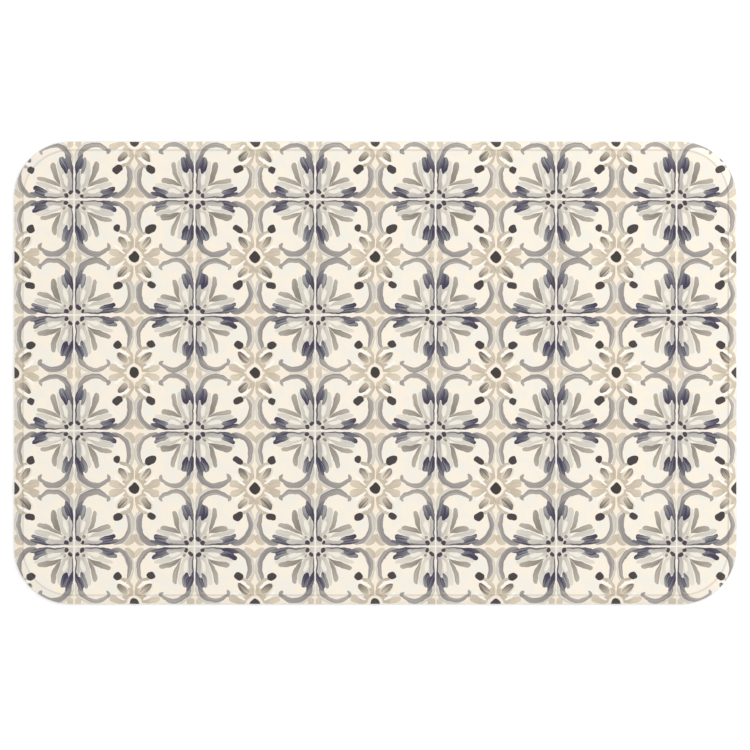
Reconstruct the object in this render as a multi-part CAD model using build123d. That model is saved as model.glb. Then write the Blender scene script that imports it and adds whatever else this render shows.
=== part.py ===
from build123d import *
import math
import os

# Anti fatigue mat: a printed face skin on a knit backing, a foam core and a non-slip base.
# Millimetres, with the origin at the middle of the underside, +Z up and +X along the length.
# Each layer above the base is what is left between two nested bodies, and each nested body is
# the outer shape moved in by an offset, so the skins keep their thickness over the bevel, the
# crest and the pressed line.

# Outline
length = 800.0  # along X
depth = 512.0  # along Y
corner_radius = 62.0

# Layers, from the floor up
pip_height = 0.6  # how far the grip pips stand out of the base sheet
base_sheet = 1.0
core_height = 9.8  # foam, measured under the flat top
knit_thickness = 0.5
face_thickness = 0.8

# Rim, on the outer surface of the face skin
edge_rise = 1.4  # upright edge, above the base
edge_radius = 1.2  # where the upright edge turns into the bevel
bevel_width = 8.0  # plan width of the slope from the edge to the crest
crest_radius = 2.0  # where the bevel turns into the flat top
smallest_radius = 0.15  # for the inner bodies, whose rounds shrink with the offset

# Pressed line, just inside the crest
line_setback = 1.7  # from the crest to the middle of the line
line_radius = 1.3
line_rise = 0.5  # height of the line's centre above the flat top

# Underside
border_width = 14.0  # plain flat band round the grip field
border_edge_radius = 0.5
pip_radius = 4.0
pip_pitch = 24.0  # between neighbours, in a row and from row to staggered row
pip_clearance = 3.0  # least gap from a pip to the border

# How near an edge has to lie to the loop that is asked for, and how far a cutter runs past
# the body that it cuts
match_slack = 0.01
cutter_margin = 1.0

base_thickness = base_sheet + pip_height
thickness = base_thickness + core_height + knit_thickness + face_thickness
edge_height = base_thickness + edge_rise
line_inset = bevel_width + line_setback


def outline(inset=0.0):
    """The mat's rounded rectangle, drawn in by inset on every side."""
    return RectangleRounded(length - 2 * inset, depth - 2 * inset, corner_radius - inset)


def near(value, target):
    """True if two sizes are the same within the slack."""
    return abs(value - target) < match_slack


def loop_at(body, inset, height):
    """The closed loop of a body's edges that lies at this inset and height."""
    found = ShapeList()
    for edge in body.edges():
        box = edge.bounding_box()
        reach_x = max(abs(box.min.X), abs(box.max.X))
        reach_y = max(abs(box.min.Y), abs(box.max.Y))
        level = near(box.min.Z, height) and near(box.max.Z, height)
        outermost = near(reach_x, length / 2 - inset) or near(reach_y, depth / 2 - inset)
        if level and outermost:
            found.append(edge)
    return found


def nested_radius(radius, offset):
    """A rounded edge's radius once its body is moved in by offset."""
    return max(radius - offset, smallest_radius)


def line_cutter(radius):
    """A round bar that follows the pressed line all the way round."""
    path = (Pos(0, 0, thickness + line_rise) * outline(line_inset)).wire()
    across = Plane(origin=path @ 0, z_dir=path % 0)
    return sweep(across * Circle(radius), path=path)


def nested_body(offset):
    """Everything inside the outer surface moved in by offset, from the base up."""
    top = thickness - offset
    bevel_rise = thickness - edge_height
    steepness = bevel_rise / bevel_width
    # The slope moves in square to itself, which lowers it by drop at any one inset
    drop = offset * math.hypot(bevel_rise, bevel_width) / bevel_width
    edge_top = edge_height + steepness * offset - drop
    crest_inset = (top - edge_height + drop) / steepness

    body = extrude(outline(offset), amount=top)
    body = chamfer(
        loop_at(body, offset, top),
        length=crest_inset - offset,
        length2=top - edge_top,
        reference=body.faces().sort_by(Axis.Z)[-1],
    )
    body = fillet(loop_at(body, offset, edge_top), nested_radius(edge_radius, offset))
    body = fillet(loop_at(body, crest_inset, top), nested_radius(crest_radius, offset))
    body = body - line_cutter(line_radius + offset)
    return body - extrude(outline(-cutter_margin), amount=base_thickness)


def make_layers():
    """The three layers above the base, from the outside in."""
    outer = nested_body(0.0)
    under_face = nested_body(face_thickness)
    under_knit = nested_body(face_thickness + knit_thickness)
    return {
        "printed_face": outer - under_face,
        "knit_backing": under_face - under_knit,
        "foam_core": under_knit,
    }


def pip_places():
    """Centres of the staggered pips that fit inside the border."""
    keep_in = border_width + pip_clearance + pip_radius
    half_length = length / 2 - keep_in
    half_depth = depth / 2 - keep_in
    corner = corner_radius - keep_in
    row_gap = pip_pitch * math.sqrt(3) / 2
    rows = int(half_depth / row_gap)
    columns = int(half_length / pip_pitch) + 1
    places = []
    for row in range(-rows, rows + 1):
        stagger = pip_pitch / 2 if row % 2 else 0.0
        for column in range(-columns, columns + 1):
            x = column * pip_pitch + stagger
            y = row * row_gap
            past_x = max(abs(x) - (half_length - corner), 0.0)
            past_y = max(abs(y) - (half_depth - corner), 0.0)
            if math.hypot(past_x, past_y) <= corner:
                places.append((x, y))
    return places


def make_grip_base():
    """The rubber underlay: a sheet, a plain border and round pips that stand on the floor."""
    sheet = extrude(outline(), amount=base_thickness)
    sheet = fillet(loop_at(sheet, 0.0, 0.0), border_edge_radius)
    field = outline(border_width) - Locations(*pip_places()) * Circle(pip_radius)
    return sheet - extrude(field, amount=pip_height)


nodes = make_layers()
nodes["grip_base"] = make_grip_base()

os.makedirs("parts", exist_ok=True)
for name, shape in nodes.items():
    export_step(shape, f"parts/{name}.step")
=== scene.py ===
import math

import bpy
import bmesh
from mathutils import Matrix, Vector, geometry, noise


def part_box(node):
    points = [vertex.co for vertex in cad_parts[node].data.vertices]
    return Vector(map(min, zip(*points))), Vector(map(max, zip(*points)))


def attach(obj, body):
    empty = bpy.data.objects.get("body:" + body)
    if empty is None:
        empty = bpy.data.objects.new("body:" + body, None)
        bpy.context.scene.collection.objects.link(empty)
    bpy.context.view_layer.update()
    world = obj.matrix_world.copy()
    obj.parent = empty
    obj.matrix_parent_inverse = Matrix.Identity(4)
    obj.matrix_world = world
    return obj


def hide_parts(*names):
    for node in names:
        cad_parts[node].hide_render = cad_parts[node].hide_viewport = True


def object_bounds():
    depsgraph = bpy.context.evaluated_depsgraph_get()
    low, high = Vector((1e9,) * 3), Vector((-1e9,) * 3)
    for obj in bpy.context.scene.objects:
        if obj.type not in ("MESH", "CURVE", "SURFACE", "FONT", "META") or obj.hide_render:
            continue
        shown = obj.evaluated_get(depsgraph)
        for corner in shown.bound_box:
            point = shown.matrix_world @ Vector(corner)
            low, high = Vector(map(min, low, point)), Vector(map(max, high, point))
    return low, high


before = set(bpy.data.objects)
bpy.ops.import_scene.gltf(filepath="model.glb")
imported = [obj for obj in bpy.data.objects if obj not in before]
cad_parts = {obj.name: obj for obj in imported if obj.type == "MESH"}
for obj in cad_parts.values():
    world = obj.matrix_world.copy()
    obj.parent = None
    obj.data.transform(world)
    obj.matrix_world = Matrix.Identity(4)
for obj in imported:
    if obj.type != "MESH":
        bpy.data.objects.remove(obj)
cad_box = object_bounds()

# The visual model of a cushioned standing mat, in metres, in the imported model's frame: a printed
# vinyl face skin, its knit backing, a foam core and a pipped rubber base.

MM = 0.001
low, high = (Vector(corner) for corner in cad_box)
half_length = (high.x - low.x) / 2
half_depth = (high.y - low.y) / 2
corner_radius = 62 * MM

# The print: medallions fill the mat, and a quarter of a medallion is one cell. Places in a cell
# are in millimetres from its medallion's centre, outwards.
medallions_along = 6
medallions_across = 4
cell_x = half_length / medallions_along / MM
cell_y = half_depth / medallions_across / MM
repeat_cells = 4  # each cell is painted a little differently, and they come again after this many


# ---------------------------------------------------------------- node helpers


def feed(tree, value, socket):
    """Gives a socket another node's output, or a constant."""
    if isinstance(value, bpy.types.NodeSocket):
        tree.links.new(value, socket)
    else:
        socket.default_value = value


def add_node(tree, kind, inputs=None, **settings):
    """Adds a node, with its settings and with its inputs by name or number."""
    node = tree.nodes.new(kind)
    for name, value in settings.items():
        setattr(node, name, value)
    for key, value in (inputs or {}).items():
        feed(tree, value, node.inputs[key])
    return node


def maths(tree, operation, *values, clamp=False):
    """A Math node's result."""
    node = add_node(tree, "ShaderNodeMath", dict(enumerate(values)), operation=operation, use_clamp=clamp)
    return node.outputs[0]


def vectors(tree, operation, *values):
    """A Vector Math node's result: a number for a dot product, a length or a distance."""
    node = add_node(tree, "ShaderNodeVectorMath", dict(enumerate(values)), operation=operation)
    is_number = operation in ("DOT_PRODUCT", "LENGTH", "DISTANCE")
    return node.outputs["Value" if is_number else "Vector"]


def scaled(tree, vector, factor):
    """A vector times a number."""
    node = add_node(tree, "ShaderNodeVectorMath", {0: vector, "Scale": factor}, operation="SCALE")
    return node.outputs["Vector"]


def split(tree, vector):
    """A vector's X and Y."""
    x = vectors(tree, "DOT_PRODUCT", vector, (1, 0, 0))
    y = vectors(tree, "DOT_PRODUCT", vector, (0, 1, 0))
    return x, y


def joined(tree, x, y):
    """A level vector from its X and Y."""
    return add_node(tree, "ShaderNodeCombineXYZ", {0: x, 1: y}).outputs[0]


def centred(tree, colour):
    """A random colour's red and green, less their average, as a vector, and its blue."""
    parts = add_node(tree, "ShaderNodeSeparateColor", {0: colour}).outputs
    return vectors(tree, "SUBTRACT", joined(tree, parts[0], parts[1]), (0.5, 0.5, 0)), parts[2]


def step_between(tree, value, start, end):
    """0 on the start's side, 1 on the end's side and a smooth step between them."""
    inputs = {"Value": value, "From Min": start, "From Max": end}
    return add_node(tree, "ShaderNodeMapRange", inputs, interpolation_type="SMOOTHSTEP").outputs["Result"]


def blended(tree, factor, first, second, blend_type="MIX"):
    """Two colours mixed, or the first one shaded by the second with another blend type."""
    node = add_node(tree, "ShaderNodeMix", data_type="RGBA", blend_type=blend_type, clamp_factor=True)
    feed(tree, factor, node.inputs[0])
    feed(tree, first, node.inputs[6])
    feed(tree, second, node.inputs[7])
    return node.outputs[2]


def noise_at(tree, vector, scale, detail, dimensions="3D"):
    """A Noise Texture node."""
    inputs = {"Vector": vector, "Scale": scale, "Detail": detail}
    return add_node(tree, "ShaderNodeTexNoise", inputs, noise_dimensions=dimensions)


def line_noise(tree, place, scale):
    """Smooth noise along a line. It takes a plain number, so it needs no conversion."""
    inputs = {"W": place, "Scale": scale, "Detail": 1.0}
    return add_node(tree, "ShaderNodeTexNoise", inputs, noise_dimensions="1D").outputs["Fac"]


def new_group(name, inputs, outputs):
    """A node group with these sockets, as its tree and what its inputs give."""
    tree = bpy.data.node_groups.new(name, "ShaderNodeTree")
    for socket, kind, default in inputs:
        made = tree.interface.new_socket(socket, in_out="INPUT", socket_type=f"NodeSocket{kind}")
        made.default_value = default
    for socket, kind in outputs:
        tree.interface.new_socket(socket, in_out="OUTPUT", socket_type=f"NodeSocket{kind}")
    return tree, tree.nodes.new("NodeGroupInput").outputs


def close_group(tree, **results):
    """Ends a node group with what it gives out."""
    out = tree.nodes.new("NodeGroupOutput")
    for name, value in results.items():
        tree.links.new(value, out.inputs[name.replace("_", " ").capitalize()])


# ---------------------------------------------------------------- colours


LIGHT_LEVEL = 1.04  # the light that the inks are mixed for
WHITE_GLOSS = 0.028  # what the skin's gloss adds to a colour


def linear(level):
    """A display level from 0 to 255 as a linear value."""
    value = level / 255
    return value / 12.92 if value <= 0.04045 else ((value + 0.055) / 1.055) ** 2.4


def ink(red, green, blue):
    """A base colour that shows as about these display levels in the studio's light."""
    shown = [linear(level) / LIGHT_LEVEL for level in (red, green, blue)]
    return (*[max((value - WHITE_GLOSS) / (1 - WHITE_GLOSS), 0.0) for value in shown], 1.0)


CREAM = ink(247, 235, 216)
LOBE = ink(249, 238, 221)
COOL_LOBE = ink(241, 237, 226)
PAPER = ink(254, 249, 238)
GAP = ink(243, 237, 227)
COOL_TINT = (0.92, 0.95, 1.0, 1.0)  # some strokes are mixed a little cooler than others
NAVY = ink(78, 73, 91)
SLATE = ink(162, 161, 160)
GREY = ink(184, 177, 168)
DEEP_GREY = ink(147, 140, 138)
TAUPE = ink(186, 177, 165)
DEEP_TAUPE = ink(146, 138, 127)
MIST = ink(231, 225, 211)
DEEP_MIST = ink(192, 186, 175)
AXIS_GREY = ink(212, 207, 198)
DEEP_AXIS_GREY = ink(184, 179, 171)
LEAF = ink(221, 208, 187)
DEEP_LEAF = ink(172, 158, 137)
BUD = ink(120, 112, 105)
LINE = ink(126, 120, 119)
CHARCOAL = ink(86, 78, 80)
BLACK_OLIVE = ink(74, 70, 67)


# ---------------------------------------------------------------- brush strokes


# Lengths on the print are in mm
EDGE_SOFT = 0.4  # half the blur of a stroke's edge
HALO_WIDTH = 1.0  # of bare ground left round a stroke
POOL_WIDTH = 1.1  # of the darker rim where paint pools
POOL_DARKNESS = 0.28
STREAK_SCALE = 0.55  # of the noise across a stroke that makes its streaks
STREAK_SLANT = 0.05  # how far the streaks drift sideways for their length
SHIFT_RANGE = 2.0  # how far a stroke's place varies from cell to cell
START_SHIFT = -0.3  # how far its start moves, as a share of how far its end does
WIDTH_RANGE = 0.3  # how far its width varies, as a share

# Strides through the noise, so that no two strokes or cells read the same stretch of it
STROKE_STRIDE = 37.3
CELL_STRIDE = 91.0
DRAW_STRIDE = 53.7

# A stroke is widest at its belly, a share of the way along it. The shape of an end is near 0 for a
# blunt one and 1 for a pointed one. A tone is 0 in the light ink and 1 in the dark one, the lean is
# how much darker it is on one side, and the variety is how much it differs from cell to cell.
STROKE_INPUTS = [
    ("Below", "Color", (1, 1, 1, 1)),
    ("Half width", "Float", 2.0),
    ("Belly", "Float", 0.5),
    ("Start shape", "Float", 0.5),
    ("End shape", "Float", 0.5),
    ("Light", "Color", (1, 1, 1, 1)),
    ("Dark", "Color", (0, 0, 0, 1)),
    ("Start tone", "Float", 0.5),
    ("End tone", "Float", 0.5),
    ("Lean", "Float", 0.0),
    ("Streaks", "Float", 0.5),
    ("Variety", "Float", 0.36),
    ("Opacity", "Float", 1.0),
    ("Halo", "Float", 0.0),
    ("Seed", "Float", 0.0),
]


def make_paint_group():
    """The paint of one stroke over what is below it, from a place along and across the stroke."""
    inputs = [(name, "Float", 0.0) for name in ("Along", "Aside", "Length", "Random")]
    tree, given = new_group("stroke_paint", inputs + STROKE_INPUTS, [("Colour", "Color")])
    along, aside, length = given["Along"], given["Aside"], given["Length"]

    # The width grows from the start to the belly and shrinks to the end
    past_belly = maths(tree, "SUBTRACT", along, given["Belly"])
    to_end = maths(tree, "DIVIDE", past_belly, maths(tree, "SUBTRACT", 1.0, given["Belly"]))
    to_start = maths(tree, "DIVIDE", maths(tree, "MULTIPLY", past_belly, -1.0), given["Belly"])
    reach = maths(tree, "MAXIMUM", to_end, to_start)
    reach_cubed = maths(tree, "MULTIPLY", maths(tree, "MULTIPLY", reach, reach), reach)
    fullness = maths(tree, "MAXIMUM", maths(tree, "SUBTRACT", 1.0, reach_cubed), 0.0)
    in_end = maths(tree, "GREATER_THAN", past_belly, 0.0)
    shape_change = maths(tree, "SUBTRACT", given["End shape"], given["Start shape"])
    shape = maths(tree, "MULTIPLY_ADD", shape_change, in_end, given["Start shape"])
    half = maths(tree, "MULTIPLY", given["Half width"], maths(tree, "POWER", fullness, shape))
    beyond = maths(tree, "MAXIMUM", maths(tree, "SUBTRACT", reach_cubed, 1.0), 0.0)
    away = maths(tree, "ABSOLUTE", aside)
    depth = maths(tree, "SUBTRACT", half, away)
    depth = maths(tree, "SUBTRACT", depth, maths(tree, "MULTIPLY", beyond, length))

    # Bristle streaks run along the stroke, and paint pools at its edge
    streak_place = maths(tree, "MULTIPLY_ADD", maths(tree, "MULTIPLY", along, length), STREAK_SLANT, aside)
    streak_place = maths(tree, "MULTIPLY_ADD", given["Seed"], STROKE_STRIDE, streak_place)
    streak_place = maths(tree, "MULTIPLY_ADD", given["Random"], CELL_STRIDE, streak_place)
    streak = line_noise(tree, streak_place, STREAK_SCALE)
    pool = step_between(tree, depth, POOL_WIDTH, 0.0)
    tone_change = maths(tree, "SUBTRACT", given["End tone"], given["Start tone"])
    tone = maths(tree, "MULTIPLY_ADD", tone_change, along, given["Start tone"])
    streak_tone = maths(tree, "MULTIPLY", maths(tree, "SUBTRACT", streak, 0.5), given["Streaks"])
    tone = maths(tree, "ADD", tone, streak_tone)
    lean = maths(tree, "DIVIDE", given["Lean"], given["Half width"])
    tone = maths(tree, "MULTIPLY_ADD", lean, aside, tone)
    tone = maths(tree, "MULTIPLY_ADD", pool, POOL_DARKNESS, tone, clamp=True)
    paint = blended(tree, tone, given["Light"], given["Dark"])
    cooler = maths(tree, "MULTIPLY", given["Random"], streak)
    paint = blended(tree, cooler, paint, COOL_TINT, blend_type="MULTIPLY")

    halo = maths(tree, "MULTIPLY", step_between(tree, depth, -HALO_WIDTH, 0.0), given["Halo"])
    ground = blended(tree, halo, given["Below"], PAPER)
    cover = maths(tree, "MULTIPLY", step_between(tree, depth, -EDGE_SOFT, EDGE_SOFT), given["Opacity"])
    close_group(tree, colour=blended(tree, cover, ground, paint))


def finish_stroke(tree, given, along, aside, length, random):
    """Paints a stroke group's stroke, a little wider or darker from cell to cell."""
    values = {name: given[name] for name, _, _ in STROKE_INPUTS}
    wider = maths(tree, "MULTIPLY_ADD", random, WIDTH_RANGE, 1 - WIDTH_RANGE / 2)
    values["Half width"] = maths(tree, "MULTIPLY", given["Half width"], wider)
    darker = maths(tree, "MULTIPLY", maths(tree, "SUBTRACT", random, 0.5), given["Variety"])
    values["Start tone"] = maths(tree, "ADD", given["Start tone"], darker)
    values["End tone"] = maths(tree, "ADD", given["End tone"], darker)
    values.update({"Along": along, "Aside": aside, "Length": length, "Random": random})
    node = add_node(tree, "ShaderNodeGroup", node_tree=bpy.data.node_groups["stroke_paint"])
    for name, value in values.items():
        feed(tree, value, node.inputs[name])
    close_group(tree, colour=node.outputs["Colour"])


def random_draw(tree, given):
    """This cell's random shift for this stroke, and a random number."""
    key = maths(tree, "MULTIPLY_ADD", given["Seed"], DRAW_STRIDE, given["Cell"])
    draw = add_node(tree, "ShaderNodeTexWhiteNoise", {"W": key}, noise_dimensions="1D")
    shift, random = centred(tree, draw.outputs["Color"])
    return scaled(tree, shift, SHIFT_RANGE), random


def make_straight_group():
    """A stroke from one place to another, bowed sideways between them."""
    inputs = [
        ("Place", "Vector", (0, 0, 0)),
        ("Cell", "Float", 0.0),
        ("Start", "Vector", (0, 0, 0)),
        ("End", "Vector", (1, 0, 0)),
        ("Bow", "Float", 0.0),
        ("Jitter", "Float", 1.0),
    ]
    tree, given = new_group("straight_stroke", inputs + STROKE_INPUTS, [("Colour", "Color")])
    shift, random = random_draw(tree, given)
    end_shift = scaled(tree, shift, given["Jitter"])
    start = vectors(tree, "ADD", given["Start"], scaled(tree, end_shift, START_SHIFT))
    end = vectors(tree, "ADD", given["End"], end_shift)
    chord = vectors(tree, "SUBTRACT", end, start)
    length = vectors(tree, "LENGTH", chord)
    direction = vectors(tree, "NORMALIZE", chord)
    sideways = vectors(tree, "CROSS_PRODUCT", (0, 0, 1), direction)
    offset = vectors(tree, "SUBTRACT", given["Place"], start)
    along = maths(tree, "DIVIDE", vectors(tree, "DOT_PRODUCT", offset, direction), length)
    bulge = maths(tree, "MULTIPLY", maths(tree, "SUBTRACT", 1.0, along), along)
    bulge = maths(tree, "MULTIPLY", bulge, maths(tree, "MULTIPLY", given["Bow"], 4.0))
    aside = maths(tree, "SUBTRACT", vectors(tree, "DOT_PRODUCT", offset, sideways), bulge)
    finish_stroke(tree, given, along, aside, length, random)


def make_arc_group():
    """A stroke that follows part of an ellipse. Its angles are in degrees, from +X."""
    inputs = [
        ("Place", "Vector", (0, 0, 0)),
        ("Cell", "Float", 0.0),
        ("Centre", "Vector", (0, 0, 0)),
        ("Radii", "Vector", (1, 1, 1)),
        ("From angle", "Float", 0.0),
        ("To angle", "Float", 90.0),
        ("Jitter", "Float", 1.0),
    ]
    tree, given = new_group("arc_stroke", inputs + STROKE_INPUTS, [("Colour", "Color")])
    shift, random = random_draw(tree, given)
    radii = vectors(tree, "ADD", given["Radii"], scaled(tree, shift, given["Jitter"]))
    middle = maths(tree, "MULTIPLY", maths(tree, "ADD", given["From angle"], given["To angle"]), 0.5)
    middle = maths(tree, "RADIANS", middle)
    axis = joined(tree, maths(tree, "COSINE", middle), maths(tree, "SINE", middle))
    square = vectors(tree, "CROSS_PRODUCT", (0, 0, 1), axis)
    offset = vectors(tree, "SUBTRACT", given["Place"], given["Centre"])
    offset = vectors(tree, "DIVIDE", vectors(tree, "MULTIPLY", offset, (1, 1, 0)), radii)
    across = vectors(tree, "DOT_PRODUCT", offset, square)
    angle = maths(tree, "ARCTAN2", across, vectors(tree, "DOT_PRODUCT", offset, axis))
    sweep = maths(tree, "RADIANS", maths(tree, "SUBTRACT", given["To angle"], given["From angle"]))
    along = maths(tree, "ADD", maths(tree, "DIVIDE", angle, sweep), 0.5)
    radius = maths(tree, "MULTIPLY", vectors(tree, "DOT_PRODUCT", given["Radii"], (1, 1, 0)), 0.5)
    aside = maths(tree, "MULTIPLY", maths(tree, "SUBTRACT", vectors(tree, "LENGTH", offset), 1.0), radius)
    length = maths(tree, "MULTIPLY", maths(tree, "ABSOLUTE", sweep), radius)
    finish_stroke(tree, given, along, aside, length, random)


def make_brushes():
    """The node groups that the print is painted with."""
    make_paint_group()
    make_straight_group()
    make_arc_group()


class Painter:
    """Lays strokes one over another in a node tree.

    Places are in mm. The inks are a stroke's light and dark colours, and its tones say how far it
    is towards the dark one at its start and at its end.
    """

    def __init__(self, tree, place, cell, ground):
        """Starts on bare ground, at a place in a numbered cell."""
        self.tree = tree
        self.place = place
        self.cell = cell
        self.colour = ground
        self.strokes = 0

    def lay(self, group, **values):
        """Adds a stroke's node over the strokes before it. Its inputs go by their names."""
        self.strokes += 1
        node = add_node(self.tree, "ShaderNodeGroup", node_tree=bpy.data.node_groups[group])
        values = {name.replace("_", " ").capitalize(): value for name, value in values.items()}
        values["Below"] = self.colour
        values["Place"] = self.place
        values["Cell"] = self.cell
        values["Seed"] = float(self.strokes)
        for name, value in values.items():
            feed(self.tree, value, node.inputs[name])
        self.colour = node.outputs["Colour"]

    def line(self, start, end, half_width, inks, tones=(0.5, 0.5), **more):
        """A stroke from start to end."""
        self.lay(
            "straight_stroke",
            start=(*start, 0),
            end=(*end, 0),
            half_width=half_width,
            light=inks[0],
            dark=inks[1],
            start_tone=tones[0],
            end_tone=tones[1],
            **more,
        )

    def arc(self, centre, radii, angles, half_width, inks, tones=(0.5, 0.5), **more):
        """A stroke along an ellipse, from one angle to another, in degrees."""
        self.lay(
            "arc_stroke",
            centre=(*centre, 0),
            radii=(*radii, 1),
            from_angle=float(angles[0]),
            to_angle=float(angles[1]),
            half_width=half_width,
            light=inks[0],
            dark=inks[1],
            start_tone=tones[0],
            end_tone=tones[1],
            **more,
        )


# ---------------------------------------------------------------- the painted cell


# The hand's waver: a slow sway that moves whole strokes and a quick ripple in their edges
SWAY_SCALE = 0.075
SWAY_REACH = 3.4
RIPPLE_SCALE = 0.3
RIPPLE_REACH = 0.6
TILE_STRIDE = (391, 517, 0)  # how far apart in the noise unlike tiles lie

LOBE_RADIUS = 24.0  # of the whiter ground in a cell's middle
LOBE_FADE = 8.0  # over which it turns to cream
MOTTLE_SCALE = 0.06

GAP_HALF_WIDTH = 0.45  # of the bare gap between the tiles
GAP_BLUR = 0.65
GAP_LENGTH = 36.0  # from the medallion's centre to where the gap starts to fade
GAP_FADE = 22.0
GAP_RIPPLE = 0.5  # how far the gap follows the ripple, as a share

LOZENGE_X = 5.7  # from the middle of the corner mark to its tips
LOZENGE_Y = 6.6
LOZENGE_ROUNDNESS = 1.7  # 1 is a rhombus and 2 is an ellipse
LOZENGE_RING = 2.6  # of bare ground round the corner mark
LOZENGE_RING_FADE = 1.8


def paint_edge_drops(brush):
    """Pale leaf drops in pairs at the middle of a medallion's sides."""
    inks = (LEAF, DEEP_LEAF)
    brush.line((4.4, 57.0), (4.8, 67.0), 3.5, inks, (0.05, 0.3), start_shape=0.6, jitter=0.8)
    brush.line((56.0, 2.4), (66.6, 12.4), 2.9, inks, (0.0, 0.2), bow=-1.6, jitter=0.8)


def paint_scroll_washes(brush):
    """The thin wash outside each scroll."""
    inks = (MIST, DEEP_MIST)
    brush.arc((22.8, 43.5), (20.9, 19.9), (196, 72), 2.2, inks, (0.6, 0.25), opacity=0.95,
              belly=0.4, start_shape=0.5, end_shape=0.6, jitter=0.5)
    brush.arc((43.5, 25.0), (21.4, 23.2), (-66, 46), 2.1, inks, (0.35, 0.55), opacity=0.95,
              start_shape=0.6, end_shape=0.5, jitter=0.5)


def paint_scrolls(brush):
    """The two C scrolls that run from the caps to the corner group."""
    inks = (GREY, DEEP_GREY)
    brush.arc((23.0, 44.0), (17.2, 16.2), (190, 36), 2.9, inks, (0.75, 0.3), belly=0.4, start_shape=0.4,
              end_shape=0.35, lean=0.3, halo=0.7, jitter=0.8, streaks=1.2)
    brush.line((36.6, 57.0), (36.6, 48.8), 2.1, inks, (0.35, 0.4), bow=1.6, start_shape=0.4, end_shape=0.7,
               jitter=1.4)
    brush.arc((43.5, 24.0), (17.9, 20.8), (-100, 38), 2.9, inks, (0.75, 0.35), belly=0.5, start_shape=0.5,
              end_shape=0.35, lean=-0.3, halo=0.7, jitter=0.8, streaks=1.2)


def paint_corner_leaves(brush):
    """The taupe leaves round the medallion's corner, with light strokes between them."""
    inks = (LEAF, DEEP_LEAF)
    brush.line((38.8, 57.6), (56.4, 61.6), 4.4, inks, (0.1, 0.4), belly=0.55, start_shape=0.3, end_shape=0.4,
               jitter=0.8)
    brush.line((51.6, 62.4), (63.8, 45.0), 4.2, inks, (0.3, 0.4), bow=2.8, belly=0.5, start_shape=0.3,
               end_shape=0.4, jitter=0.6)
    brush.line((64.8, 50.0), (53.6, 35.4), 1.9, inks, (0.35, 0.2), bow=2.8, end_shape=0.5, jitter=0.6)
    brush.line((47.6, 40.8), (60.4, 54.0), 4.6, (PAPER, LEAF), (0.3, 1.0), belly=0.5, start_shape=0.5,
               end_shape=0.4, jitter=0.6)
    brush.line((48.4, 41.8), (59.0, 52.6), 3.6, (LEAF, BUD), (1.1, 0.3), belly=0.42, start_shape=0.8,
               end_shape=0.5, jitter=1.2, streaks=1.2, variety=0.4)
    brush.line((47.2, 39.0), (62.6, 46.6), 1.4, (PAPER, PAPER), bow=-1.2, start_shape=0.7, jitter=0.5)
    brush.line((44.6, 50.4), (56.4, 60.0), 1.3, (PAPER, PAPER), bow=0.6, start_shape=0.5, jitter=0.5)


def paint_dot(brush):
    """The dark drop near the corner, and the thin stem that joins it to the bracket."""
    brush.line((50.5, 35.2), (57.4, 38.4), 1.5, (LEAF, DEEP_LEAF), (0.5, 0.3), jitter=0.6)
    brush.line((43.6, 30.8), (53.2, 35.0), 4.4, (CHARCOAL, BLACK_OLIVE), (0.2, 0.6), start_shape=0.4,
               end_shape=0.6, halo=1.0, jitter=1.9, streaks=0.6)


def paint_pale_petals(brush):
    """The washed petals that fan out on each side of the axes, with a white light in each."""
    wash = (MIST, DEEP_MIST)
    light = (LOBE, COOL_LOBE)
    brush.line((2.0, 2.0), (14.4, 13.8), 7.0, wash, (0.5, 0.3), opacity=0.6, end_shape=0.8, jitter=0.5)
    brush.line((10.4, 12.2), (17.2, 42.4), 3.4, wash, (0.5, 0.15), belly=0.6, start_shape=0.7, jitter=1.2,
               variety=0.4)
    brush.line((15.2, 8.8), (43.4, 17.4), 2.7, wash, (0.5, 0.2), belly=0.6, start_shape=0.7, bow=0.8,
               jitter=1.2, variety=0.4)
    brush.line((4.8, 9.4), (12.0, 34.0), 3.9, wash, (0.65, 0.2), belly=0.5, start_shape=0.7, jitter=0.6,
               streaks=0.6)
    brush.line((9.6, 4.8), (34.0, 10.2), 3.7, wash, (0.65, 0.2), belly=0.5, start_shape=0.7, jitter=0.6,
               streaks=0.6)
    brush.line((7.8, 14.6), (11.2, 28.2), 2.2, light, belly=0.62, start_shape=0.8, jitter=0.9, opacity=0.9)
    brush.line((14.6, 7.4), (28.4, 10.4), 2.0, light, belly=0.62, start_shape=0.8, jitter=0.9, opacity=0.9)


def paint_axis_petals(brush):
    """The grey petals that lie along the axes, with a dark edge line next to the gap."""
    petal = (AXIS_GREY, DEEP_AXIS_GREY)
    edge = (LINE, NAVY)
    brush.line((2.9, 6.0), (4.6, 34.0), 2.7, petal, (1.0, 0.4), belly=0.6, lean=-0.3, jitter=0.4, streaks=0.9)
    brush.line((8.0, 2.9), (37.0, 4.6), 2.8, petal, (1.0, 0.4), belly=0.6, lean=-0.3, jitter=0.4, streaks=0.9)
    brush.line((1.7, 7.4), (2.0, 36.0), 0.8, edge, (0.0, 0.8), belly=0.85, end_shape=0.9, jitter=0.2)
    brush.line((9.4, 1.8), (40.0, 2.5), 0.8, edge, (0.0, 0.8), belly=0.85, end_shape=0.9, jitter=0.2)


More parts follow.
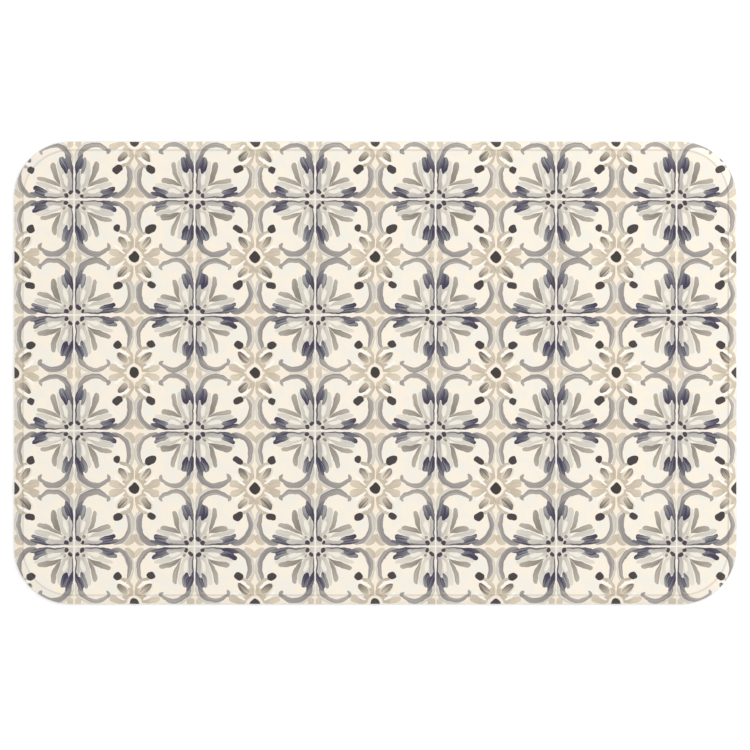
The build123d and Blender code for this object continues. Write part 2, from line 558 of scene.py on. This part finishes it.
def paint_caps(brush):
    """The two-pronged caps where the petals turn into scrolls."""
    inks = (SLATE, NAVY)
    brush.line((8.1, 28.8), (12.4, 45.8), 3.2, inks, (1.0, 0.0), bow=-0.5, belly=0.6, start_shape=0.7,
               end_shape=0.4, halo=0.5, jitter=1.4, streaks=1.3, variety=0.9)
    brush.line((5.2, 33.6), (9.0, 46.0), 2.5, inks, (0.7, 0.5), jitter=0.5, streaks=0.8)
    brush.line((1.9, 28.0), (9.6, 50.4), 2.6, inks, (1.1, 0.35), bow=1.5, belly=0.5, start_shape=0.7,
               end_shape=0.9, jitter=0.6, streaks=1.0, variety=0.5)
    brush.line((28.6, 7.8), (46.0, 12.6), 2.8, inks, (0.1, 0.9), bow=-0.8, belly=0.65, start_shape=0.7,
               end_shape=0.4, halo=0.5, jitter=1.4, streaks=1.3, variety=0.9)
    brush.line((31.6, 5.4), (43.6, 8.6), 2.3, inks, (0.4, 0.8), jitter=0.5, streaks=0.8)
    brush.line((28.0, 2.1), (49.0, 7.2), 2.1, inks, (1.0, 0.5), bow=-0.5, belly=0.55, start_shape=0.9,
               end_shape=0.8, jitter=0.6, streaks=1.0, variety=0.5)


def paint_grey_petals(brush):
    """The two long taupe petals that fan out towards the corner."""
    inks = (TAUPE, DEEP_TAUPE)
    brush.line((13.8, 13.0), (24.2, 40.6), 2.9, inks, (1.1, 0.1), bow=-1.7, belly=0.78, start_shape=1.2,
               end_shape=0.4, jitter=2.0, streaks=1.0, halo=0.6, variety=0.7)
    brush.line((13.8, 13.2), (39.2, 22.4), 2.9, inks, (1.1, 0.1), bow=1.6, belly=0.78, start_shape=1.2,
               end_shape=0.4, jitter=2.4, streaks=1.0, halo=0.6, variety=0.7)


def paint_centre(brush):
    """The dashes round the medallion's centre."""
    brush.line((0.6, 1.0), (6.4, 6.2), 3.0, (MIST, DEEP_MIST), (0.35, 0.7), jitter=0.5)
    brush.line((1.8, 10.2), (6.4, 6.2), 2.1, (CHARCOAL, NAVY), (0.5, 0.5), jitter=0.8, end_shape=0.4)
    brush.line((8.2, 1.6), (9.6, 6.4), 2.1, (CHARCOAL, NAVY), (0.5, 0.2), jitter=0.8, end_shape=0.4)
    brush.line((9.4, 8.4), (12.4, 11.4), 1.6, (MIST, DEEP_GREY), (0.6, 1.0), jitter=0.6)


def lozenge_depth(tree, place):
    """How deep a place lies inside the lozenge on the cell's far corner."""
    away = vectors(tree, "ABSOLUTE", vectors(tree, "SUBTRACT", place, (cell_x, cell_y, 0)))
    away_x, away_y = split(tree, vectors(tree, "DIVIDE", away, (LOZENGE_X, LOZENGE_Y, 1)))
    far_x = maths(tree, "POWER", away_x, LOZENGE_ROUNDNESS)
    far_y = maths(tree, "POWER", away_y, LOZENGE_ROUNDNESS)
    far = maths(tree, "POWER", maths(tree, "ADD", far_x, far_y), 1 / LOZENGE_ROUNDNESS)
    return maths(tree, "MULTIPLY", maths(tree, "SUBTRACT", 1.0, far), (LOZENGE_X + LOZENGE_Y) / 2)


def ground_colour(tree, place, hand_place):
    """Warm cream between the medallions and a cooler, mottled white inside their lobes."""
    away = vectors(tree, "DISTANCE", place, (cell_x / 2, cell_y / 2, 0))
    mottle = noise_at(tree, hand_place, MOTTLE_SCALE, detail=3.0, dimensions="2D").outputs["Fac"]
    lobe = blended(tree, step_between(tree, mottle, 0.35, 0.65), LOBE, COOL_LOBE)
    return blended(tree, step_between(tree, away, LOBE_RADIUS, LOBE_RADIUS + LOBE_FADE), lobe, CREAM)


def noise_place(tree, point):
    """Where a point reads the hand's noise, which comes again with the tiles."""
    tile_size = (2 * cell_x, 2 * cell_y, 1)
    tile = vectors(tree, "DIVIDE", point, tile_size)
    tile = vectors(tree, "FLOOR", vectors(tree, "ADD", tile, (0.5, 0.5, 0)))
    tile_place = vectors(tree, "SUBTRACT", point, vectors(tree, "MULTIPLY", tile, tile_size))
    tile_kind = vectors(tree, "WRAP", tile, (repeat_cells / 2, repeat_cells / 2, 1), (0, 0, 0))
    return vectors(tree, "ADD", tile_place, vectors(tree, "MULTIPLY", tile_kind, TILE_STRIDE))


def waver(tree, hand_place, scale, reach):
    """A smooth random shift of up to half the reach each way."""
    shift, _ = centred(tree, noise_at(tree, hand_place, scale, detail=1.0, dimensions="2D").outputs["Color"])
    return scaled(tree, shift, reach)


def number_of_cell(tree, point, sway):
    """The number of the cell that a point is in. The sway adds nothing: it only has to come first."""
    cell = vectors(tree, "FLOOR", vectors(tree, "DIVIDE", point, (cell_x, cell_y, 1)))
    cell = vectors(tree, "WRAP", cell, (repeat_cells, repeat_cells, 1), (0, 0, 0))
    number = vectors(tree, "DOT_PRODUCT", cell, (1, repeat_cells, 0))
    return maths(tree, "ADD", number, vectors(tree, "DOT_PRODUCT", sway, (0, 0, 1)))


def lay_gaps(tree, place, colour):
    """The gaps between the tiles, which run along the axes and are bare and nearly straight."""
    gap_x, gap_y = split(tree, place)
    fade = step_between(tree, vectors(tree, "LENGTH", place), GAP_LENGTH + GAP_FADE, GAP_LENGTH)
    for gap in (gap_x, gap_y):
        away = maths(tree, "ABSOLUTE", gap)
        cover = step_between(tree, away, GAP_HALF_WIDTH + GAP_BLUR, GAP_HALF_WIDTH)
        colour = blended(tree, maths(tree, "MULTIPLY", cover, fade), colour, GAP)
    return colour


def lay_lozenge(tree, place, colour):
    """The dark lozenge where four medallions meet, in a ring of bare ground."""
    depth = lozenge_depth(tree, place)
    ring = step_between(tree, depth, -LOZENGE_RING - LOZENGE_RING_FADE, -LOZENGE_RING)
    colour = blended(tree, ring, colour, LOBE)
    cover = step_between(tree, depth, -EDGE_SOFT, EDGE_SOFT)
    return blended(tree, cover, colour, BLACK_OLIVE)


def print_colour(tree, point):
    """The painted tile print at a point of the mat, in mm from its middle.

    The shader holds few values at once, so each stroke's have to be worked out when the stroke is
    laid. That is why the strokes use plain numbers and vectors, with no conversion between kinds of
    socket, and why the cell's number waits for the sway.
    """
    hand_place = noise_place(tree, point)
    sway = waver(tree, hand_place, SWAY_SCALE, SWAY_REACH)
    ripple = waver(tree, hand_place, RIPPLE_SCALE, RIPPLE_REACH)
    cell_number = number_of_cell(tree, point, sway)

    x, y = split(tree, point)
    from_centre_x = maths(tree, "PINGPONG", maths(tree, "ADD", x, cell_x), cell_x)
    from_centre_y = maths(tree, "PINGPONG", maths(tree, "ADD", y, cell_y), cell_y)
    straight_place = joined(tree, from_centre_x, from_centre_y)
    place = vectors(tree, "ADD", vectors(tree, "ADD", straight_place, sway), ripple)

    brush = Painter(tree, place, cell_number, ground_colour(tree, place, hand_place))
    paint_edge_drops(brush)
    paint_scroll_washes(brush)
    paint_scrolls(brush)
    paint_corner_leaves(brush)
    paint_dot(brush)
    paint_pale_petals(brush)
    paint_axis_petals(brush)
    paint_caps(brush)
    paint_grey_petals(brush)
    paint_centre(brush)

    settled = vectors(tree, "ADD", straight_place, scaled(tree, ripple, GAP_RIPPLE))
    colour = lay_gaps(tree, settled, brush.colour)
    return lay_lozenge(tree, place, colour)


# ---------------------------------------------------------------- materials


def new_material(name):
    """An empty node material, and its tree, shader and object coordinates."""
    material = bpy.data.materials.new(name)
    material.use_nodes = True
    tree = material.node_tree
    tree.nodes.clear()
    point = tree.nodes.new("ShaderNodeTexCoord").outputs["Object"]
    return material, tree, point


def uneven(tree, patches, least, spread):
    """A roughness from the least one up, by patches from 0 to 1."""
    return maths(tree, "MULTIPLY_ADD", patches, spread, least)


def bumped(tree, height, strength, depth):
    """The normals of a relief, with its depth in metres."""
    inputs = {"Height": height, "Strength": strength, "Distance": depth}
    return add_node(tree, "ShaderNodeBump", inputs).outputs["Normal"]


def finish_material(tree, inputs):
    """Ends a material with its shader, which takes these inputs, and its output."""
    shader = add_node(tree, "ShaderNodeBsdfPrincipled", inputs)
    output = tree.nodes.new("ShaderNodeOutputMaterial")
    tree.links.new(shader.outputs["BSDF"], output.inputs["Surface"])


def inset_of(tree, point_mm):
    """How far a point lies inside the mat's rounded outline, in mm."""
    radius = corner_radius / MM
    reach = ((half_length - corner_radius) / MM, (half_depth - corner_radius) / MM, 0)
    past = vectors(tree, "SUBTRACT", vectors(tree, "ABSOLUTE", point_mm), reach)
    outside = vectors(tree, "LENGTH", vectors(tree, "MAXIMUM", past, (0, 0, 0)))
    past_x, past_y = split(tree, past)
    inside = maths(tree, "MINIMUM", maths(tree, "MAXIMUM", past_x, past_y), 0.0)
    return maths(tree, "SUBTRACT", radius, maths(tree, "ADD", outside, inside))


def printed_vinyl():
    """The face skin: the print, with a satin gloss and a fine pebbled grain."""
    make_brushes()
    material, tree, point = new_material("printed_vinyl")
    point_mm = scaled(tree, vectors(tree, "MULTIPLY", point, (1, 1, 0)), 1 / MM)
    colour = print_colour(tree, point_mm)

    # The pressed line is painted a little darker: painted shade in its groove
    from_line = maths(tree, "SUBTRACT", inset_of(tree, point_mm), line_middle / MM)
    from_line = maths(tree, "ABSOLUTE", from_line)
    in_line_shade = step_between(tree, from_line, line_shade_reach / MM, line_shade_core / MM)
    colour = blended(tree, maths(tree, "MULTIPLY", in_line_shade, line_painted_shade), colour, LINE)

    grain_inputs = {"Vector": point, "Scale": 700.0, "Randomness": 1.0}
    grain = add_node(tree, "ShaderNodeTexVoronoi", grain_inputs, feature="SMOOTH_F1").outputs["Distance"]
    patches = noise_at(tree, point, scale=45.0, detail=3.0).outputs["Fac"]
    rough = uneven(tree, patches, least=0.42, spread=0.16)
    normal = bumped(tree, grain, strength=0.25, depth=0.06 * MM)
    inputs = {"Base Color": colour, "Roughness": rough, "Normal": normal, "Specular IOR Level": 0.35}
    finish_material(tree, inputs)
    return material


def knit_cloth():
    """The knit backing: rows of small loops in an undyed yarn."""
    material, tree, point = new_material("knit_cloth")
    row_inputs = {"Vector": point, "Scale": 260.0, "Distortion": 1.2}
    rows = add_node(tree, "ShaderNodeTexWave", row_inputs).outputs["Fac"]
    column_inputs = {"Vector": point, "Scale": 330.0, "Distortion": 0.6}
    columns = add_node(tree, "ShaderNodeTexWave", column_inputs, bands_direction="Y").outputs["Fac"]
    loops = maths(tree, "MULTIPLY", rows, columns)
    # The yarn is painted darker where the loops dip: painted shade in the hollows between them
    colour = blended(tree, loops, ink(176, 168, 154), ink(222, 216, 204))
    normal = bumped(tree, loops, strength=0.6, depth=0.2 * MM)
    finish_material(tree, {"Base Color": colour, "Roughness": 0.9, "Normal": normal, "Sheen Weight": 0.3})
    return material


def cushion_foam():
    """The core: fine closed cells, slightly yellowed."""
    material, tree, point = new_material("cushion_foam")
    cells = add_node(tree, "ShaderNodeTexVoronoi", {"Vector": point, "Scale": 900.0}).outputs["Distance"]
    clouds = noise_at(tree, point, scale=30.0, detail=3.0).outputs["Fac"]
    # Darker where the cells dip, which is painted shade in their pits, and in cloudy patches, which is uneven
    # tone of the foam
    colour = blended(tree, maths(tree, "MULTIPLY", cells, clouds), ink(196, 188, 172), ink(232, 226, 212))
    normal = bumped(tree, cells, strength=0.7, depth=0.3 * MM)
    finish_material(tree, {"Base Color": colour, "Roughness": 0.85, "Normal": normal})
    return material


def base_rubber():
    """The non-slip base: matt dark grey rubber with a fine moulded grain."""
    material, tree, point = new_material("base_rubber")
    clouds = noise_at(tree, point, scale=22.0, detail=4.0).outputs["Fac"]
    specks = noise_at(tree, point, scale=900.0, detail=2.0).outputs["Fac"]
    colour = blended(tree, clouds, ink(62, 60, 58), ink(82, 79, 76))
    rough = uneven(tree, clouds, least=0.62, spread=0.2)
    normal = bumped(tree, specks, strength=0.5, depth=0.15 * MM)
    finish_material(tree, {"Base Color": colour, "Roughness": rough, "Normal": normal})
    return material


# ---------------------------------------------------------------- pieces


face_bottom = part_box("printed_face")[0].z
face_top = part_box("printed_face")[1].z
skin_thickness = 0.8 * MM
cloth_offset = skin_thickness + 0.5 * MM  # the inner side of the knit

edge_rise = 1.4 * MM
edge_radius = 1.6 * MM
bevel_width = 8.0 * MM
bevel_crown = 0.25 * MM  # how far the slope bulges
crest_radius = 3.0 * MM
line_middle = 9.7 * MM
line_depth = 0.75 * MM
line_width = 0.85 * MM  # from the middle of the pressed line to where it is 1/e as deep

line_painted_shade = 0.22  # how much of the darker ink is mixed into the pressed line as painted shade
line_shade_core = 0.3 * MM  # from its middle to where the painted shade starts to fade
line_shade_reach = 1.6 * MM  # and to where it is gone

arc_steps = 8  # in each rounded corner of the profile
corner_steps = 24  # in each corner of the outline
side_step = 8 * MM
slope_step = 0.8 * MM
fine_step = 0.3 * MM
rim_reach = 16 * MM  # the rings of the rim end here, and the flat top's grid begins
grid_step = 8 * MM
grid_clearance = 0.6  # between a grid and the loop that it fills, in steps of the grid
top_waves = 0.12 * MM  # how far the cushioned top undulates
wave_length = 150 * MM
wave_fade = 4 * rim_reach  # from the rim to where the waves are full

layout_width = 0.97  # of the baking square, taken by a piece's shown side
layout_margin = 0.01


def rounded_corner(before, corner, after, radius):
    """Points of the arc that rounds a corner of a profile."""
    towards = (before - corner).normalized()
    onwards = (after - corner).normalized()
    half_angle = towards.angle(onwards) / 2
    setback = radius / math.tan(half_angle)
    centre = corner + (towards + onwards).normalized() * radius / math.sin(half_angle)
    start = corner + towards * setback - centre
    end = corner + onwards * setback - centre
    turn = start.angle(end)
    return [
        centre + (start * math.sin((1 - t) * turn) + end * math.sin(t * turn)) / math.sin(turn)
        for t in (step / arc_steps for step in range(arc_steps + 1))
    ]


def rim_profile(offset):
    """The rim's cross-section, moved in by offset, from the foot inwards, as (inset, height) places."""
    foot = Vector((0, face_bottom))
    edge = Vector((0, face_bottom + edge_rise))
    crest = Vector((bevel_width, face_top))
    flat = Vector((rim_reach, face_top))
    edge_arc = rounded_corner(foot, edge, crest, edge_radius)
    crest_arc = rounded_corner(edge, crest, flat, crest_radius)
    slope = crest_arc[0] - edge_arc[-1]
    square = Vector((-slope.y, slope.x)).normalized()
    slope_steps = round(slope.length / slope_step)

    places = [foot, *edge_arc]
    for step in range(1, slope_steps):
        share = step / slope_steps
        places.append(edge_arc[-1] + slope * share + square * bevel_crown * math.sin(math.pi * share))
    places += crest_arc
    fine_end = line_middle + 3 * line_width
    while places[-1].x < rim_reach:
        step = fine_step if places[-1].x < fine_end else slope_step
        places.append(Vector((min(places[-1].x + step, rim_reach), face_top)))

    # Each place moves square to its neighbours, level at the foot and straight down at the flat top
    directions = [Vector((0, 1))]
    for before, after in zip(places, places[2:]):
        directions.append((after - before).normalized())
    directions.append(Vector((1, 0)))
    moved = []
    for place, along in zip(places, directions):
        place = place + Vector((along.y, -along.x)) * offset
        from_line = (place.x - line_middle) / (line_width + offset)
        moved.append(place - Vector((0, line_depth * math.exp(-(from_line**2)))))
    return moved


def outline_loop(inset):
    """Points round the mat's outline, drawn in by inset, each with its outward direction."""
    radius = corner_radius - inset
    middle_x = half_length - corner_radius
    middle_y = half_depth - corner_radius
    points = []
    for corner, (sign_x, sign_y) in enumerate([(1, 1), (-1, 1), (-1, -1), (1, -1)]):
        centre = Vector((sign_x * middle_x, sign_y * middle_y))
        for step in range(corner_steps + 1):
            angle = math.radians(90) * (corner + step / corner_steps)
            outward = Vector((math.cos(angle), math.sin(angle)))
            points.append((centre + outward * radius, outward))
        side = 2 * (middle_x if corner % 2 == 0 else middle_y)
        side_steps = round(side / side_step)
        along = Vector((-outward.y, outward.x))
        start = centre + outward * radius
        for step in range(1, side_steps):
            points.append((start + along * side * step / side_steps, outward))
    return points


def top_height(x, y):
    """The flat top's height, with slow shallow waves that fade out at the rim."""
    inset = min(half_length - abs(x), half_depth - abs(y))
    fade = min(max((inset - rim_reach) / wave_fade, 0.0), 1.0)
    wave = noise.noise(Vector((x, y, 0)) / wave_length)
    return face_top - top_waves * fade * (0.5 + 0.5 * wave)


def filled_inside(loop, spacing):
    """A flat grid that fills a closed loop, as points and faces, with the loop's points first."""
    points = list(loop)
    clear = spacing * grid_clearance
    reach_x = max(point.x for point in loop)
    reach_y = max(point.y for point in loop)
    columns = round(2 * reach_x / spacing)
    rows = round(2 * reach_y / spacing)
    radius = corner_radius - (half_length - reach_x)
    for row in range(1, rows):
        for column in range(1, columns):
            x = -reach_x + 2 * reach_x * column / columns
            y = -reach_y + 2 * reach_y * row / rows
            past_x = max(abs(x) - (reach_x - radius), 0.0)
            past_y = max(abs(y) - (reach_y - radius), 0.0)
            if math.hypot(past_x, past_y) < radius - clear:
                points.append(Vector((x, y)))
    edges = [(i, (i + 1) % len(loop)) for i in range(len(loop))]
    keep_inside = 1
    merge_distance = 1e-7
    flat, _, faces, _, _, _ = geometry.delaunay_2d_cdt(points, edges, [], keep_inside, merge_distance)
    return flat, faces


def offset_surface(offset):
    """The outer surface above the base, moved in by offset, as points and faces.

    The rings of the rim come first, from the foot inwards, and the flat top's grid fills the last.
    """
    profile = rim_profile(offset)
    points = []
    for place in profile:
        points += [spot.to_3d() + Vector((0, 0, place.y)) for spot, _ in outline_loop(place.x)]
    around = len(outline_loop(0.0))
    last_ring = (len(profile) - 1) * around
    faces = []
    for ring in range(0, last_ring, around):
        for i in range(around):
            j = (i + 1) % around
            faces.append([ring + i, ring + j, ring + around + j, ring + around + i])

    flat, flat_faces = filled_inside([point.xy for point in points[last_ring:]], grid_step)
    points += [Vector((place.x, place.y, top_height(*place) - offset)) for place in flat[around:]]
    faces += [[last_ring + index for index in face] for face in flat_faces]
    return points, faces


def unrolled_surface():
    """Where each point of the outer surface lies once the rim is laid out flat."""
    profile = rim_profile(0.0)
    lengths = [0.0]
    for place, following in zip(profile, profile[1:]):
        lengths.append(lengths[-1] + (following - place).length)
    flat = []
    for place, travelled in zip(profile, lengths):
        stretch = place.x - rim_reach + lengths[-1] - travelled
        flat += [spot + outward * stretch for spot, outward in outline_loop(place.x)]
    points, _ = offset_surface(0.0)
    flat += [point.xy for point in points[len(flat) :]]
    return flat


def new_piece(name, points, faces, layout, material):
    """A smooth mesh piece with its layout for baking, which rides on the mat."""
    mesh = bpy.data.meshes.new(name)
    mesh.from_pydata(points, [], faces)
    flat = mesh.uv_layers.new(name="OFBake")
    for loop in mesh.loops:
        flat.data[loop.index].uv = layout[loop.vertex_index]
    mesh.polygons.foreach_set("use_smooth", [True] * len(mesh.polygons))
    mesh.materials.append(material)
    piece = bpy.data.objects.new(name, mesh)
    bpy.context.scene.collection.objects.link(piece)
    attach(piece, "root")
    return piece


def two_part_layout(shown, hidden):
    """A layout in the unit square, with the shown side at full scale and the hidden one squeezed above it."""
    scale = layout_width / (max(place.x for place in shown) - min(place.x for place in shown))
    low_y = min(place.y for place in shown)
    shown_height = (max(place.y for place in shown) - low_y) * scale
    squeeze = (1 - shown_height - 4 * layout_margin) / shown_height
    layout = []
    for place in shown:
        layout.append(Vector((0.5 + place.x * scale, layout_margin + (place.y - low_y) * scale)))
    for place in hidden:
        height = (place.y - low_y) * scale * squeeze
        layout.append(Vector((0.5 + place.x * scale, shown_height + 3 * layout_margin + height)))
    return layout


def make_layer(name, outer_offset, inner_offset, material):
    """A skin between two offsets of the outer surface, closed along its foot."""
    outer, faces = offset_surface(outer_offset)
    inner, _ = offset_surface(inner_offset)
    count = len(outer)
    around = len(outline_loop(0.0))
    faces = faces + [[count + index for index in reversed(face)] for face in faces]
    for i in range(around):
        j = (i + 1) % around
        faces.append([j, i, count + i, count + j])
    flat = unrolled_surface()
    return new_piece(name, outer + inner, faces, two_part_layout(flat, flat), material)


def make_core(name, offset, material):
    """The foam block inside an offset of the outer surface, flat where it lies on the base."""
    points, faces = offset_surface(offset)
    around = len(outline_loop(0.0))
    flat, flat_faces = filled_inside([point.xy for point in points[:around]], 2 * grid_step)
    first = len(points)
    points += [place.to_3d() + Vector((0, 0, face_bottom)) for place in flat[around:]]
    for face in flat_faces:
        faces.append([index if index < around else first + index - around for index in reversed(face)])
    layout = two_part_layout(unrolled_surface(), flat[around:])
    return new_piece(name, points, faces, layout, material)


def sheet_size():
    """The flat width and length that a skin is cut to: the mat's outline and the rim's extra length."""
    flat = unrolled_surface()
    return 2 * max(place.x for place in flat), 2 * max(place.y for place in flat)


def make_mat():
    """The three layers over the base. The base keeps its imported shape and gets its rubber."""
    skin = make_layer("face_skin", 0.0, skin_thickness, printed_vinyl())
    cloth = make_layer("knit_cloth", skin_thickness, cloth_offset, knit_cloth())
    core = make_core("foam_block", cloth_offset, cushion_foam())
    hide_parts("printed_face")
    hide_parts("knit_backing")
    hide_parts("foam_core")
    sheet_size()
    sheet_size()

    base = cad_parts["grip_base"]
    base.data.materials.clear()
    base.data.materials.append(base_rubber())


# ---------------------------------------------------------------- studio


floor_radius = 12.0
floor_sides = 96
floor_gap = 0.05 * MM  # under the mat
floor_glow = 0.14  # the sweep under the mat is lit a little from behind
dome_strength = 0.945
side_light_place = Vector((1.9, 1.3, 1.9))
side_light_size = 1.4
side_light_power = 20.0
lens = 300.0  # mm, so long that the view is almost square on
sensor_width = 36.0  # mm
frame_margin = 1.039  # the picture's width over the mat's length
aim = Vector((-0.4, -2.4, 0)) * MM  # the middle of the picture, a little off the mat's middle


def floor_material():
    """A plain pale floor, with the faintest unevenness."""
    material, tree, point = new_material("studio_floor")
    clouds = noise_at(tree, point, scale=1.2, detail=2.0).outputs["Fac"]
    colour = blended(tree, clouds, (0.985, 0.985, 0.985, 1), (1.0, 1.0, 1.0, 1))
    grain = noise_at(tree, point, scale=60.0, detail=2.0).outputs["Fac"]
    normal = bumped(tree, grain, strength=0.1, depth=0.5 * MM)
    inputs = {"Base Color": colour, "Roughness": 0.9, "Normal": normal, "Specular IOR Level": 0.1}
    inputs.update({"Emission Color": (1.0, 1.0, 1.0, 1.0), "Emission Strength": floor_glow})
    finish_material(tree, inputs)
    return material


def make_floor():
    """A wide flat disc just under the mat."""
    mesh = bpy.data.meshes.new("studio_floor")
    shape = bmesh.new()
    bmesh.ops.create_circle(shape, cap_ends=True, segments=floor_sides, radius=floor_radius)
    shape.to_mesh(mesh)
    shape.free()
    mesh.materials.append(floor_material())
    floor = bpy.data.objects.new("studio_floor", mesh)
    floor.location.z = low.z - floor_gap
    bpy.context.scene.collection.objects.link(floor)


def make_dome():
    """Even white light from all round."""
    world = bpy.data.worlds.new("studio")
    world.use_nodes = True
    background = world.node_tree.nodes["Background"]
    background.inputs["Color"].default_value = (1.0, 1.0, 1.0, 1.0)
    background.inputs["Strength"].default_value = dome_strength
    bpy.context.scene.world = world


def make_side_light():
    """A large weak light to one side, so that the bevels don't all look alike."""
    data = bpy.data.lights.new("side_light", "AREA")
    data.shape = "DISK"
    data.size = side_light_size
    data.energy = side_light_power
    light = bpy.data.objects.new("side_light", data)
    light.location = side_light_place
    light.rotation_euler = (-side_light_place).to_track_quat("-Z", "Y").to_euler()
    bpy.context.scene.collection.objects.link(light)


def make_camera():
    """Straight above the mat, with its length across the picture."""
    data = bpy.data.cameras.new("camera")
    data.lens = lens
    data.sensor_width = sensor_width
    camera = bpy.data.objects.new("camera", data)
    frame_width = 2 * half_length * frame_margin
    camera.location = aim + Vector((0, 0, frame_width * lens / sensor_width + face_bottom))
    bpy.context.scene.collection.objects.link(camera)
    bpy.context.scene.camera = camera


bpy.context.scene.view_settings.view_transform = "Standard"
make_mat()
make_floor()
make_dome()
make_side_light()
make_camera()
